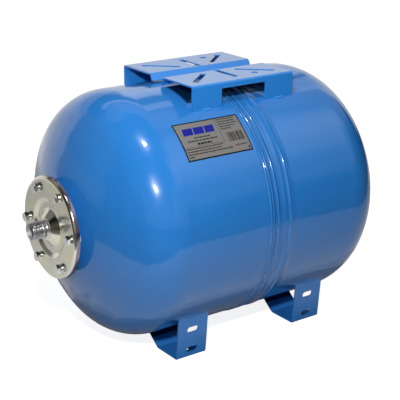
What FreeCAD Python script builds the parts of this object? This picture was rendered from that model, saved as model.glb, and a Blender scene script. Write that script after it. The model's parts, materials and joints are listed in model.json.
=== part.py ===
import FreeCAD, Part
import math
import os

V = FreeCAD.Vector

# Frame: X runs along the tank's axis with the water inlet at -X, Z is up, and the side that carries the
# rating label faces -Y. The origin lies on the floor, in the middle of the pattern of the four feet.

# Tank body, two drawn steel halves with torispherical ends
tank_radius = 190.0
tank_wall = 1.5
straight_length = 310.2
crown_radius = 280.0
knuckle_radius = 76.5
tank_middle = -2.7
ground_clearance = 15.5

# Girth seam and the stiffening beads beside it
seam_offset = 14.7
weld_width = 10.5
weld_crown = 0.7
root_gap = 1.0
joggle_overlap = 8.0
joggle_clearance = 0.2
joggle_inset = 0.6
joggle_top_bend = 1.0
joggle_foot_bend = 2.0
bead_height = 1.5
bead_crest_bend = 3.4
twin_bead_gap = 13.3
twin_bead_width = 11.0
twin_crest_inset = 3.1
twin_valley_height = 0.9
twin_front_bend = 0.6
twin_rear_bend = 2.0
single_bead_gap = 4.3
single_bead_width = 6.5
single_foot_bend = 2.0
rear_bead_gap = 0.6
rear_bead_width = 15.0
rear_crest_inset = 4.5
rear_front_bend = 0.6
rear_back_bend = 12.0

# Neck: a steel ring on a short tube that is welded over the opening of the front end
neck_radius = 73.0
neck_ring_thickness = 5.0
neck_ring_edge_radius = 1.0
bore_to_bolts = 14.1
neck_wall = 4.0
neck_fillet = 3.0
neck_standoff = 10.1
opening_inset = 3.0
neck_weld_leg = 4.5

# Bladder of rubber, with its lip clamped between neck and flange
lip_width = 7.5
lip_seat_depth = 2.5
bladder_fit = 0.5
bladder_radius = 150.0
bladder_rear_gap = 45.0
bladder_shoulder_inset = 39.0
bladder_neck_bend = 20.0
bladder_shoulder_bend = 70.0
bladder_end_bend = 135.0

# Inlet flange, pressed from galvanised sheet
flange_thickness = 3.0
flange_overhang = 5.0
flange_skirt = 8.5
flange_corner_radius = 5.0
step_to_bolts = 17.1
step_depth = 4.0
step_run = 7.0
step_top_bend = 5.0
step_foot_bend = 3.5
hub_floor_width = 9.5
hub_foot_bend = 3.0
hub_top_radius = 16.8
hub_top_bend = 4.5
hub_rise = 9.6

# Threaded nipple, nominal size G 3/4
nipple_radius = 13.22
nipple_bore_radius = 10.5
nipple_reach = 31.3
thread_length = 19.0
nipple_neck_radius = 12.6
nipple_tail = 4.0
nipple_chamfer = 1.2
nipple_clearance = 0.1
nipple_weld_leg = 2.6
nipple_weld_hollow = 1.04

# Flange fasteners, size M8
bolt_count = 6
bolt_edge_distance = 10.4
bolt_first_angle = 30.0
bolt_radius = 4.0
bolt_length = 16.0
bolt_head_height = 5.3
bolt_head_face_radius = 6.2
bolt_head_chamfer = 30.0
hex_across_flats = 13.0
hex_turn = 30.0
bolt_hole_radius = 4.5
spring_washer_thickness = 2.0
spring_washer_radius = 6.6
spring_washer_slit = 1.5
spring_washer_turn = 15.0
washer_bore_radius = 4.2
nut_height = 6.5
nut_bore_radius = 4.1

# Pump brackets, folded sheet, one each side of the tank's crown
bracket_sheet = 2.5
bracket_bend_radius = 0.8
bracket_rise = 13.5
bracket_length = 189.0
bracket_middle = 5.5
bracket_inner_y = 16.9
bracket_outer_y = 92.8
bracket_lip_lean = 30.0
bracket_lip_clearance = 0.3
bracket_leg_width = 53.2
bracket_window_strip = 9.5
bracket_corner_radius = 3.0
bracket_cut_reach = 5.0
slot_length = 60.0
slot_width = 9.0
slot_corner_radius = 1.5
slot_angle = 42.0
slot_end_inset = 42.5
slot_side_inset = 34.6
cross_slot_length = 53.0
cross_slot_side_inset = 30.6
hole_radius = 5.5
hole_end_inset = 54.5
hole_side_inset = 50.1
bracket_weld_length = 16.0
bracket_weld_radius = 2.2

# Feet, four folded sheets
foot_sheet = 2.5
foot_bend_radius = 0.6
foot_spacing = 228.0
foot_width = 53.6
foot_inner_y = 74.2
foot_outer_y = 126.2
foot_outer_lean = 5.1
foot_inner_lean = 53.0
foot_slot_length = 20.0
foot_slot_width = 9.0
foot_low_slot_height = 12.5
foot_high_slot_height = 46.5
foot_base_slot_y = 105.0
foot_cut_reach = 5.0
foot_trim_reach = 10.0
foot_weld_length = 26.0
foot_weld_radius = 2.2

# Air valve at the middle of the rear end
boss_radius = 9.0
boss_collar_radius = 13.0
boss_height = 6.0
boss_chamfer = 1.0
boss_tail = 5.0
boss_bore_radius = 5.0
boss_fit = 0.1
valve_hex_across_flats = 14.0
valve_hex_height = 4.0
valve_seal_thickness = 1.6
valve_seal_radius = 6.8
valve_stem_radius = 3.9
valve_stem_length = 13.0
valve_stem_bore = 2.7
valve_core_radius = 1.5
valve_core_length = 17.0
valve_core_inset = 1.0
valve_pin_radius = 0.75
valve_pin_length = 3.0
valve_collar_length = 3.0
cap_fit = 0.15
cap_overlap = 3.0
cap_wall = 2.0
cap_corner_radius = 3.0
cap_inner_corner_radius = 2.0
cap_flute_count = 20
cap_flute_radius = 1.2
cap_flute_depth = 0.7

# Rating label, a thin plate bent to the shell
label_length = 115.0
label_height = 62.0
label_thickness = 0.3
label_glue = 0.3
label_seam_gap = 29.4
label_bracket_gap = 18.3

# Sizes and places worked out from the sizes above
bolt_circle_radius = neck_radius - bolt_edge_distance
neck_bore_radius = bolt_circle_radius - bore_to_bolts
neck_tube_radius = neck_bore_radius + neck_wall
front_opening_radius = neck_tube_radius - opening_inset
lip_radius = neck_bore_radius + lip_width
flange_radius = neck_radius + flange_overhang
step_radius = bolt_circle_radius - step_to_bolts
hub_foot_radius = step_radius - step_run - hub_floor_width
bracket_window_length = bracket_length - 2 * bracket_leg_width
slot_spread = bracket_length / 2 - slot_end_inset
hole_spread = bracket_length / 2 - hole_end_inset
axis_height = tank_radius + ground_clearance
seam_x = tank_middle + seam_offset
weld_front_x = seam_x - weld_width / 2
weld_rear_x = seam_x + weld_width / 2
front_tangent_x = tank_middle - straight_length / 2
rear_tangent_x = tank_middle + straight_length / 2
crown_offset = math.sqrt((crown_radius - knuckle_radius) ** 2 - (tank_radius - knuckle_radius) ** 2)
dome_depth = crown_radius - crown_offset
front_tip_x = front_tangent_x - dome_depth
rear_tip_x = rear_tangent_x + dome_depth
neck_top_x = front_tip_x - neck_standoff
neck_back_x = neck_top_x + neck_ring_thickness
flange_face_x = neck_top_x - flange_thickness
hub_top_x = flange_face_x + step_depth - hub_rise
crest_radius = tank_radius + bead_height
valve_seat_x = rear_tip_x + boss_height + valve_seal_thickness
valve_top_x = valve_seat_x + valve_hex_height + valve_stem_length
bracket_top_z = axis_height + tank_radius + bracket_rise


def at_section(x, r):
    """A point of a revolved piece's half section: x along the axis, r out from it."""
    return V(x, 0, axis_height + r)


def at_end_view(y, z):
    """A point of a folded sheet's profile, seen along the tank's axis."""
    return V(0, y, z)


def offset_path(points, radii, offset, place):
    """Edges of a line with rounded corners, moved by offset to the left of its run."""
    count = len(points)
    runs = []
    for (ax, ay), (bx, by) in zip(points, points[1:]):
        length = math.hypot(bx - ax, by - ay)
        runs.append(((bx - ax) / length, (by - ay) / length))
    edges = []
    dx, dy = runs[0]
    here = (points[0][0] - dy * offset, points[0][1] + dx * offset)
    for i in range(1, count):
        dx, dy = runs[i - 1]
        px, py = points[i]
        if i == count - 1:
            there = (px - dy * offset, py + dx * offset)
            edges.append(Part.LineSegment(place(*here), place(*there)).toShape())
            break
        ex, ey = runs[i]
        turn = math.atan2(dx * ey - dy * ex, dx * ex + dy * ey)
        side = math.copysign(1.0, turn)
        radius = radii[i - 1]
        cut = radius * math.tan(abs(turn) / 2)
        sx, sy = px - dx * cut, py - dy * cut
        tx, ty = px + ex * cut, py + ey * cut
        cx, cy = sx - dy * side * radius, sy + dx * side * radius
        reach = math.hypot(px - cx, py - cy)
        arc_radius = radius - side * offset
        start = (sx - dy * offset, sy + dx * offset)
        middle = (cx + (px - cx) / reach * arc_radius, cy + (py - cy) / reach * arc_radius)
        end = (tx - ey * offset, ty + ex * offset)
        edges.append(Part.LineSegment(place(*here), place(*start)).toShape())
        edges.append(Part.Arc(place(*start), place(*middle), place(*end)).toShape())
        here = end
    return edges


def ends_of(edges):
    """First and last point of a chain of edges that was built in order."""
    first = edges[0].Vertexes[0].Point
    last = edges[-1].Vertexes[-1].Point
    return first, last


def closed_face(one_side, other_side):
    """Face between two chains of edges that run the same way."""
    a, b = ends_of(one_side)
    c, d = ends_of(other_side)
    caps = [Part.LineSegment(a, c).toShape(), Part.LineSegment(b, d).toShape()]
    wire = Part.Wire(Part.__sortEdges__(one_side + caps + other_side))
    return Part.Face(wire)


def sheet_face(points, radii, thickness, place):
    """Section of a sheet: its outer line, and the same line moved by the thickness."""
    return closed_face(offset_path(points, radii, 0.0, place), offset_path(points, radii, thickness, place))


def polygon_face(points, place):
    """Face inside a closed outline of straight edges."""
    corners = [place(*p) for p in points]
    return Part.Face(Part.makePolygon(corners + corners[:1]))


def spin(face):
    """Solid of revolution about the tank's axis."""
    return face.revolve(V(0, 0, axis_height), V(1, 0, 0), 360)


def cylinder_x(radius, x0, x1, y=0.0, z=None):
    """Cylinder along X from x0 to x1."""
    height = axis_height if z is None else z
    return Part.makeCylinder(radius, x1 - x0, V(x0, y, height), V(1, 0, 0))


def hexagon_x(across_flats, x0, x1, y, z, turn):
    """Hexagonal prism along X whose first corner stands at turn degrees from +Z."""
    corner_radius = across_flats / 2 / math.cos(math.pi / 6)
    corners = []
    for k in range(7):
        a = math.radians(turn + 60 * k)
        corners.append(V(x0, y - corner_radius * math.sin(a), z + corner_radius * math.cos(a)))
    return Part.Face(Part.makePolygon(corners)).extrude(V(x1 - x0, 0, 0))


def tank_cylinder(radius):
    """Solid round bar of the tank's radius or near it, long enough to trim brackets and feet."""
    return cylinder_x(radius, front_tangent_x, rear_tangent_x)


def dome_edges(way, opening, depth):
    """Crown and knuckle arcs of one end, from its opening to the straight side; way is -1 at the front."""
    tangent_x = front_tangent_x if way < 0 else rear_tangent_x
    centre_x = tangent_x - way * crown_offset
    crown = crown_radius - depth
    knuckle = knuckle_radius - depth
    meet = math.asin((tank_radius - knuckle_radius) / (crown_radius - knuckle_radius))
    start = math.asin(opening / crown)
    crown_points = []
    for a in (start, (start + meet) / 2, meet):
        crown_points.append(at_section(centre_x + way * crown * math.cos(a), crown * math.sin(a)))
    knuckle_points = []
    for a in (meet, (meet + math.pi / 2) / 2, math.pi / 2):
        x = tangent_x + way * knuckle * math.cos(a)
        knuckle_points.append(at_section(x, tank_radius - knuckle_radius + knuckle * math.sin(a)))
    return [Part.Arc(*crown_points).toShape(), Part.Arc(*knuckle_points).toShape()]


def dome_solid(way):
    """Solid that fills one end of the tank out to its outer face."""
    tangent_x = front_tangent_x if way < 0 else rear_tangent_x
    arcs = dome_edges(way, 0.0, 0.0)
    tip = arcs[0].Vertexes[0].Point
    rim = arcs[1].Vertexes[-1].Point
    foot = at_section(tangent_x, 0)
    lines = [Part.LineSegment(rim, foot).toShape(), Part.LineSegment(foot, tip).toShape()]
    return spin(Part.Face(Part.Wire(Part.__sortEdges__(arcs + lines))))


def crown_x(way, r):
    """Place along X of the dome's outer face at radius r, on its crown."""
    tangent_x = front_tangent_x if way < 0 else rear_tangent_x
    return tangent_x - way * crown_offset + way * math.sqrt(crown_radius ** 2 - r ** 2)


def twin_bead(start):
    """Outline and bend radii of the bead with two crests, for the side of the front half."""
    r = tank_radius
    end = start + twin_bead_width
    middle = (start + end) / 2
    points = [(start, r), (start + twin_crest_inset, r + bead_height), (middle, r + twin_valley_height),
              (end - twin_crest_inset, r + bead_height), (end, r)]
    return points, [twin_front_bend, bead_crest_bend, bead_crest_bend, bead_crest_bend, twin_rear_bend]


def plain_bead(start, width, crest_inset):
    """Outline of a bead with one crest."""
    r = tank_radius
    return [(start, r), (start + crest_inset, r + bead_height), (start + width, r)]


def make_front_shell():
    twin, twin_radii = twin_bead(weld_front_x - twin_bead_gap - twin_bead_width)
    single = plain_bead(weld_front_x - single_bead_gap - single_bead_width, single_bead_width,
                        single_bead_width / 2)
    step = tank_wall + joggle_clearance
    joggle_x = weld_front_x + joggle_inset
    joggle = [(joggle_x, tank_radius), (joggle_x + step, tank_radius - step),
              (seam_x + root_gap / 2 + joggle_overlap, tank_radius - step)]
    points = [(front_tangent_x, tank_radius)] + twin + single + joggle
    single_radii = [single_foot_bend, bead_crest_bend, single_foot_bend]
    radii = twin_radii + single_radii + [joggle_top_bend, joggle_foot_bend]
    walls = []
    for depth in (0.0, tank_wall):
        dome = dome_edges(-1, front_opening_radius, depth)
        walls.append(dome + offset_path(points, radii, -depth, at_section))
    return spin(closed_face(*walls))


def make_rear_shell():
    bead = plain_bead(weld_rear_x + rear_bead_gap, rear_bead_width, rear_crest_inset)
    radii = [rear_front_bend, bead_crest_bend, rear_back_bend]
    bore = boss_radius + boss_fit
    edge_x = seam_x + root_gap / 2
    points = [(edge_x, tank_radius)] + bead + [(rear_tangent_x, tank_radius)]
    walls = []
    edges = []
    tips = []
    for depth in (0.0, tank_wall):
        dome = dome_edges(1, bore, depth)
        edges.append(at_section(edge_x, tank_radius - depth))
        tips.append(dome[0].Vertexes[0].Point)
        walls += offset_path(points, radii, -depth, at_section) + dome
    caps = [Part.LineSegment(*edges).toShape(), Part.LineSegment(*tips).toShape()]
    return spin(Part.Face(Part.Wire(Part.__sortEdges__(walls + caps))))


def make_seam_weld(front_shell, rear_shell):
    foot = tank_radius - tank_wall - joggle_clearance
    left = at_section(weld_front_x, tank_radius)
    top = at_section(seam_x, tank_radius + weld_crown)
    right = at_section(weld_rear_x, tank_radius)
    edge = at_section(seam_x + root_gap / 2, tank_radius)
    root = at_section(seam_x + root_gap / 2, foot)
    corner = at_section(weld_front_x, foot)
    edges = [Part.Arc(left, top, right).toShape()]
    for a, b in ((right, edge), (edge, root), (root, corner), (corner, left)):
        edges.append(Part.LineSegment(a, b).toShape())
    ring = spin(Part.Face(Part.Wire(Part.__sortEdges__(edges))))
    return largest(ring.cut(front_shell).cut(rear_shell))


def largest(shape):
    """The solid of a cut that holds the most material."""
    return max(shape.Solids, key=lambda solid: solid.Volume)


def bolt_places():
    """Y, Z and turn of each flange bolt."""
    places = []
    for k in range(bolt_count):
        turn = bolt_first_angle + 360.0 / bolt_count * k
        a = math.radians(turn)
        y = -bolt_circle_radius * math.sin(a)
        places.append((y, axis_height + bolt_circle_radius * math.cos(a), turn))
    return places


def drill_bolt_holes(shape, radius, x0, x1):
    for y, z, _ in bolt_places():
        shape = shape.cut(cylinder_x(radius, x0, x1, y, z))
    return shape


def make_neck_ring():
    """Ring that the flange is bolted to, with a seat for the bladder's lip and a tube down to the dome."""
    foot_x = crown_x(-1, neck_tube_radius) + neck_wall
    outside = [(neck_top_x, neck_bore_radius), (neck_top_x, neck_radius), (neck_back_x, neck_radius),
               (neck_back_x, neck_tube_radius), (foot_x, neck_tube_radius)]
    outer = offset_path(outside, [neck_ring_edge_radius, neck_ring_edge_radius, neck_fillet], 0.0, at_section)
    start, end = ends_of(outer)
    corner = at_section(foot_x, neck_bore_radius)
    closing = [Part.LineSegment(end, corner).toShape(), Part.LineSegment(corner, start).toShape()]
    ring = spin(Part.Face(Part.Wire(Part.__sortEdges__(outer + closing))))
    ring = ring.cut(cylinder_x(lip_radius, neck_top_x, neck_top_x + lip_seat_depth))
    ring = ring.cut(dome_solid(-1))
    return drill_bolt_holes(largest(ring), bolt_hole_radius, neck_top_x, neck_back_x)


def make_neck_weld():
    """Fillet weld in the corner between the neck's tube and the dome."""
    r = neck_tube_radius
    rim = r + neck_weld_leg
    middle_r = (r + rim) / 2
    corner = at_section(crown_x(-1, r), r)
    middle = at_section(crown_x(-1, middle_r), middle_r)
    outer = at_section(crown_x(-1, rim), rim)
    front = at_section(crown_x(-1, r) - neck_weld_leg, r)
    edges = [Part.Arc(corner, middle, outer).toShape(), Part.LineSegment(outer, front).toShape(),
             Part.LineSegment(front, corner).toShape()]
    return spin(Part.Face(Part.Wire(Part.__sortEdges__(edges))))


def make_bladder():
    """Bag with a flat lip that fills its seat, a neck through the ring and a rounded far end."""
    wall = lip_seat_depth
    outer_neck = neck_bore_radius - bladder_fit
    lip_x = neck_top_x + lip_seat_depth
    shoulder_x = front_tip_x + bladder_shoulder_inset
    end_x = rear_tip_x - bladder_rear_gap
    points = [(lip_x, lip_radius), (lip_x, outer_neck), (shoulder_x, outer_neck),
              (shoulder_x + bladder_radius - outer_neck, bladder_radius), (end_x, bladder_radius), (end_x, 0)]
    radii = [bladder_fit, bladder_neck_bend, bladder_shoulder_bend, bladder_end_bend]
    outer = offset_path(points, radii, 0.0, at_section)
    inner = offset_path(points, radii, -wall, at_section)
    return spin(closed_face(outer, inner))


def make_inlet_flange():
    """Pressed disc: turned-back rim, flat bolting ring, a step down and a hub that rises to the nipple."""
    x = flange_face_x
    floor_x = x + step_depth
    points = [(x + flange_skirt, flange_radius), (x, flange_radius), (x, step_radius),
              (floor_x, step_radius - step_run), (floor_x, hub_foot_radius), (hub_top_x, hub_top_radius),
              (hub_top_x, nipple_neck_radius + nipple_clearance)]
    radii = [flange_corner_radius, step_top_bend, step_foot_bend, hub_foot_bend, hub_top_bend]
    disc = spin(sheet_face(points, radii, flange_thickness, at_section))
    return drill_bolt_holes(disc, bolt_hole_radius, x, x + flange_thickness)


def make_inlet_nipple():
    """Pipe stub with chamfered mouth: the threaded stretch, then a neck that passes through the hub."""
    mouth_x = flange_face_x - nipple_reach
    neck_x = mouth_x + thread_length
    tail_x = hub_top_x + flange_thickness + nipple_tail
    c = nipple_chamfer
    relief = nipple_radius - nipple_neck_radius
    section = [(mouth_x, nipple_bore_radius), (mouth_x, nipple_radius - c), (mouth_x + c, nipple_radius),
               (neck_x - relief, nipple_radius), (neck_x, nipple_neck_radius),
               (tail_x, nipple_neck_radius), (tail_x, nipple_bore_radius)]
    return spin(polygon_face(section, at_section))


def make_nipple_weld():
    """Small fillet between the nipple and the top of the hub."""
    x = hub_top_x
    r = nipple_neck_radius
    leg = nipple_weld_leg
    left = at_section(x - leg, r)
    right = at_section(x, r + leg)
    middle = at_section(x - nipple_weld_hollow, r + nipple_weld_hollow)
    corner = at_section(x, r)
    edges = [Part.Arc(left, middle, right).toShape(), Part.LineSegment(right, corner).toShape(),
             Part.LineSegment(corner, left).toShape()]
    return spin(Part.Face(Part.Wire(Part.__sortEdges__(edges))))


def make_bolts():
    head_x = flange_face_x - spring_washer_thickness
    bolts = []
    for y, z, turn in bolt_places():
        head = hexagon_x(hex_across_flats, head_x - bolt_head_height, head_x, y, z, turn + hex_turn)
        head = head.common(bolt_head_cone(head_x, y, z))
        shank = cylinder_x(bolt_radius, head_x, head_x + bolt_length, y, z)
        bolts.append(head.fuse(shank).removeSplitter())
    return Part.makeCompound(bolts)


def bolt_head_cone(head_x, y, z):
    """Cone that takes the corners off a hexagonal head."""
    base_radius = bolt_head_face_radius + bolt_head_height / math.tan(math.radians(bolt_head_chamfer))
    return Part.makeCone(bolt_head_face_radius, base_radius, bolt_head_height,
                         V(head_x - bolt_head_height, y, z), V(1, 0, 0))


def make_spring_washers():
    x1 = flange_face_x
    x0 = x1 - spring_washer_thickness
    washers = []
    for y, z, turn in bolt_places():
        ring = cylinder_x(spring_washer_radius, x0, x1, y, z)
        ring = ring.cut(cylinder_x(washer_bore_radius, x0, x1, y, z))
        slit = Part.makeBox(spring_washer_thickness, spring_washer_slit, spring_washer_radius,
                            V(x0, y - spring_washer_slit / 2, z))
        slit.rotate(V(x0, y, z), V(1, 0, 0), turn + spring_washer_turn)
        washers.append(ring.cut(slit))
    return Part.makeCompound(washers)


def make_weld_nuts():
    x0 = neck_back_x
    nuts = []
    for y, z, turn in bolt_places():
        nut = hexagon_x(hex_across_flats, x0, x0 + nut_height, y, z, turn + hex_turn)
        nuts.append(nut.cut(cylinder_x(nut_bore_radius, x0, x0 + nut_height, y, z)))
    return Part.makeCompound(nuts)


def slot_solid(length, width, corner, depth):
    """Upright bar for cutting a slot: along X, centred, from -depth to depth."""
    bar = Part.makeBox(length, width, 2 * depth, V(-length / 2, -width / 2, -depth))
    uprights = [e for e in bar.Edges if abs(e.tangentAt(e.FirstParameter).z) > 0.5]
    return bar.makeFillet(corner, uprights)


def bracket_slots():
    """The cutters for one bracket's top, laid out for the side at +Y."""
    cutters = []
    for end in (-1, 1):
        slot = slot_solid(slot_length, slot_width, slot_corner_radius, bracket_cut_reach)
        slot.rotate(V(0, 0, 0), V(0, 0, 1), end * slot_angle)
        x = bracket_middle + end * slot_spread
        slot.translate(V(x, bracket_inner_y + slot_side_inset, bracket_top_z))
        cutters.append(slot)
    cross = slot_solid(cross_slot_length, slot_width, slot_corner_radius, bracket_cut_reach)
    cross.rotate(V(0, 0, 0), V(0, 0, 1), 90)
    cross.translate(V(bracket_middle, bracket_inner_y + cross_slot_side_inset, bracket_top_z))
    cutters.append(cross)
    hole_x = bracket_middle + hole_spread
    hole_floor = V(hole_x, bracket_inner_y + hole_side_inset, bracket_top_z - bracket_cut_reach)
    cutters.append(Part.makeCylinder(hole_radius, 2 * bracket_cut_reach, hole_floor))
    return cutters


def make_bracket():
    """Pump bracket at +Y: a leg down to the tank outside, a flat top and a short lip inside."""
    top = bracket_top_z
    lean = math.radians(bracket_lip_lean)
    lip_floor = axis_height + crest_radius + bracket_lip_clearance + bracket_sheet * math.sin(lean)
    lip_y = bracket_inner_y - (top - lip_floor) * math.tan(lean)
    points = [(bracket_outer_y, axis_height), (bracket_outer_y, top), (bracket_inner_y, top),
              (lip_y, lip_floor)]
    bend = bracket_bend_radius + bracket_sheet
    profile = sheet_face(points, [bend, bend], bracket_sheet, at_end_view)
    bracket = profile.extrude(V(bracket_length, 0, 0))
    start_x = bracket_middle - bracket_length / 2
    bracket.translate(V(start_x, 0, 0))
    window_x = bracket_middle - bracket_window_length / 2
    window_top = top - bracket_window_strip
    window = Part.makeBox(bracket_window_length, 2 * bracket_cut_reach, window_top,
                          V(window_x, bracket_outer_y - bracket_cut_reach, 0))
    bracket = bracket.cut(window)
    for cutter in bracket_slots():
        bracket = bracket.cut(cutter)
    for x, way in leg_edges():
        bracket = bracket.cut(leg_corner(x, way))
    return largest(bracket.cut(tank_cylinder(tank_radius)))


def leg_edges():
    """Place along X of each upright edge of the two legs, and the way from it into the leg."""
    edges = []
    for way in (-1, 1):
        edges.append((bracket_middle + way * bracket_length / 2, -way))
        edges.append((bracket_middle + way * bracket_window_length / 2, way))
    return edges


def leg_corner(x, way):
    """What the rounded lower corner of a leg leaves out."""
    r = bracket_corner_radius
    foot_z = surface_z(bracket_outer_y, 1)
    y = bracket_outer_y - bracket_cut_reach
    depth = 2 * bracket_cut_reach
    block = Part.makeBox(r, depth, 2 * r, V(min(x, x + way * r), y, foot_z - r))
    return block.cut(Part.makeCylinder(r, depth, V(x + way * r, y, foot_z + r), V(0, 1, 0)))


def mirrored(shape):
    """The same piece for the side at -Y."""
    return shape.mirror(V(0, 0, 0), V(0, 1, 0))


def surface_z(y, sign):
    """Height of the tank's outer face at y; sign is +1 for its upper half."""
    return axis_height + sign * math.sqrt(tank_radius ** 2 - y ** 2)


def foot_outer_top():
    """Y and Z of the line where the outer panel's outside meets the tank."""
    k = math.tan(math.radians(foot_outer_lean))
    a = 1 + k ** 2
    b = 2 * (k * foot_outer_y - axis_height)
    c = axis_height ** 2 + foot_outer_y ** 2 - tank_radius ** 2
    z = (-b - math.sqrt(b ** 2 - 4 * a * c)) / (2 * a)
    return foot_outer_y + k * z, z


def foot_profile_points():
    """Outer line of a foot at +Y from panel top to panel top, both drawn past the tank's face."""
    outer_k = math.tan(math.radians(foot_outer_lean))
    inner_k = math.tan(math.radians(foot_inner_lean))
    outer_z = foot_outer_top()[1] + foot_trim_reach
    inner_z = surface_z(foot_inner_y, -1)
    return [(foot_outer_y + outer_z * outer_k, outer_z), (foot_outer_y, 0), (foot_inner_y, 0),
            (foot_inner_y - inner_z * inner_k, inner_z)]


def obround(length, width, depth, centre, normal_turn):
    """Slot cutter with round ends along X; its depth runs along Y turned up by normal_turn degrees."""
    bar = Part.makeBox(length - width, 2 * depth, width, V(-(length - width) / 2, -depth, -width / 2))
    for end in (-1, 1):
        place = V(end * (length - width) / 2, -depth, 0)
        bar = bar.fuse(Part.makeCylinder(width / 2, 2 * depth, place, V(0, 1, 0)))
    bar.rotate(V(0, 0, 0), V(1, 0, 0), normal_turn)
    bar.translate(centre)
    return bar


def make_foot():
    """Foot at +Y, centred on x = 0: outer panel, base and leaning inner panel from one sheet."""
    bend = foot_bend_radius + foot_sheet
    profile = sheet_face(foot_profile_points(), [bend, bend], -foot_sheet, at_end_view)
    foot = profile.extrude(V(foot_width, 0, 0))
    foot.translate(V(-foot_width / 2, 0, 0))
    foot = foot.cut(cylinder_x(tank_radius, -foot_width, foot_width))
    foot = min(foot.Solids, key=lambda solid: solid.CenterOfMass.z)
    lean = math.tan(math.radians(foot_outer_lean))
    for height in (foot_low_slot_height, foot_high_slot_height):
        centre = V(0, foot_outer_y + height * lean, height)
        foot = foot.cut(obround(foot_slot_length, foot_slot_width, foot_cut_reach, centre, 0))
    base = V(0, foot_base_slot_y, 0)
    return foot.cut(obround(foot_slot_length, foot_slot_width, foot_cut_reach, base, 90))


def round_bead(radius, length, middle_x, y, z):
    """Short weld bead along X with rounded ends."""
    x0 = middle_x - length / 2 + radius
    x1 = middle_x + length / 2 - radius
    bead = cylinder_x(radius, x0, x1, y, z)
    for x in (x0, x1):
        bead = bead.fuse(Part.makeSphere(radius, V(x, y, z)))
    return bead


def make_foot_welds(feet):
    """Bead on the outside of each foot where its outer panel meets the tank."""
    welds = []
    y, z = foot_outer_top()
    for way_x in (-1, 1):
        x = way_x * foot_spacing / 2
        for way_y in (-1, 1):
            welds.append(round_bead(foot_weld_radius, foot_weld_length, x, way_y * y, z))
    return trim_welds(welds, feet)


def make_bracket_welds(brackets):
    """Bead at the foot of each of the brackets' four legs."""
    welds = []
    for way_x in (-1, 1):
        for way_y in (-1, 1):
            x = bracket_middle + way_x * (bracket_length - bracket_leg_width) / 2
            z = surface_z(bracket_outer_y, 1)
            welds.append(round_bead(bracket_weld_radius, bracket_weld_length, x, way_y * bracket_outer_y, z))
    return trim_welds(welds, brackets)


def trim_welds(welds, sheets):
    """Beads cut back to the tank's face and the sheets that they join."""
    tank = tank_cylinder(tank_radius)
    beads = []
    for weld in welds:
        bead = weld.cut(tank)
        for sheet in sheets:
            if sheet.BoundBox.intersect(bead.BoundBox):
                bead = bead.cut(sheet)
        beads.append(max(bead.Solids, key=lambda solid: solid.Volume))
    return Part.makeCompound(beads)


def make_valve_boss():
    """Turned bush welded into the rear end."""
    face_x = rear_tip_x + boss_height
    seat_x = crown_x(1, boss_collar_radius)
    tail_x = rear_tip_x - boss_tail
    section = [(tail_x, boss_bore_radius), (tail_x, boss_radius), (seat_x, boss_radius),
               (seat_x, boss_collar_radius), (face_x - boss_chamfer, boss_collar_radius),
               (face_x, boss_collar_radius - boss_chamfer), (face_x, boss_bore_radius)]
    boss = spin(polygon_face(section, at_section))
    collar_trim = dome_solid(1).cut(cylinder_x(boss_radius + boss_fit, 0, rear_tip_x + boss_height))
    return largest(boss.cut(collar_trim))


def make_air_valve():
    """Brass valve body: threaded tail in the boss, hexagon and stem with a bore for its core."""
    tail_x = rear_tip_x - boss_tail
    hex_top = valve_seat_x + valve_hex_height
    body = hexagon_x(valve_hex_across_flats, valve_seat_x, hex_top, 0, axis_height, 0)
    body = body.fuse(cylinder_x(boss_bore_radius - boss_fit, tail_x, valve_seat_x))
    body = body.fuse(cylinder_x(valve_stem_radius, hex_top, valve_top_x))
    return body.cut(cylinder_x(valve_stem_bore, tail_x, valve_top_x)).removeSplitter()


def make_valve_core():
    """Core of the air valve with its sealing collar and centre pin."""
    top = valve_top_x - valve_core_inset
    pin_foot = top - valve_pin_length
    core = cylinder_x(valve_core_radius, top - valve_core_length, pin_foot)
    core = core.fuse(cylinder_x(valve_pin_radius, pin_foot, top))
    return core.fuse(cylinder_x(valve_stem_bore, pin_foot - valve_collar_length, pin_foot)).removeSplitter()


def make_valve_seal():
    x0 = rear_tip_x + boss_height
    ring = cylinder_x(valve_seal_radius, x0, x0 + valve_seal_thickness)
    return ring.cut(cylinder_x(boss_bore_radius, x0, x0 + valve_seal_thickness))


def make_valve_cap():
    """Cap pushed over the boss's collar, fluted for the fingers, its floor on the end of the valve's stem."""
    x0 = rear_tip_x + boss_height - cap_overlap
    x1 = valve_top_x + cap_wall
    inner_radius = boss_collar_radius + cap_fit
    radius = inner_radius + cap_wall
    outer_line = offset_path([(x0, radius), (x1, radius), (x1, 0)], [cap_corner_radius], 0.0, at_section)
    inner_line = offset_path([(x0, inner_radius), (valve_top_x, inner_radius), (valve_top_x, 0)],
                             [cap_inner_corner_radius], 0.0, at_section)
    cap = spin(closed_face(outer_line, inner_line))
    flute_circle = radius + cap_flute_radius - cap_flute_depth
    for k in range(cap_flute_count):
        a = 2 * math.pi * k / cap_flute_count
        y = flute_circle * math.sin(a)
        z = axis_height + flute_circle * math.cos(a)
        cap = cap.cut(cylinder_x(cap_flute_radius, x0, x1 - cap_corner_radius, y, z))
    return cap


def make_rating_label():
    """Curved plate on the side of the front half, at -Y above the middle."""
    x1 = weld_front_x - label_seam_gap
    x0 = x1 - label_length
    bracket_angle = math.degrees(math.asin(bracket_outer_y / tank_radius))
    start_angle = bracket_angle + math.degrees(label_bracket_gap / tank_radius)
    back = tank_radius + label_glue
    front = back + label_thickness
    plate = polygon_face([(x0, back), (x1, back), (x1, front), (x0, front)], at_section)
    plate.rotate(V(0, 0, axis_height), V(1, 0, 0), start_angle)
    return plate.revolve(V(0, 0, axis_height), V(1, 0, 0), math.degrees(label_height / tank_radius))


def write(name, shape):
    shape.exportStep("parts/" + name + ".step")
    print(name, len(shape.Solids), "solids", round(shape.Volume / 1000, 2), "cm3", shape.isValid())


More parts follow.
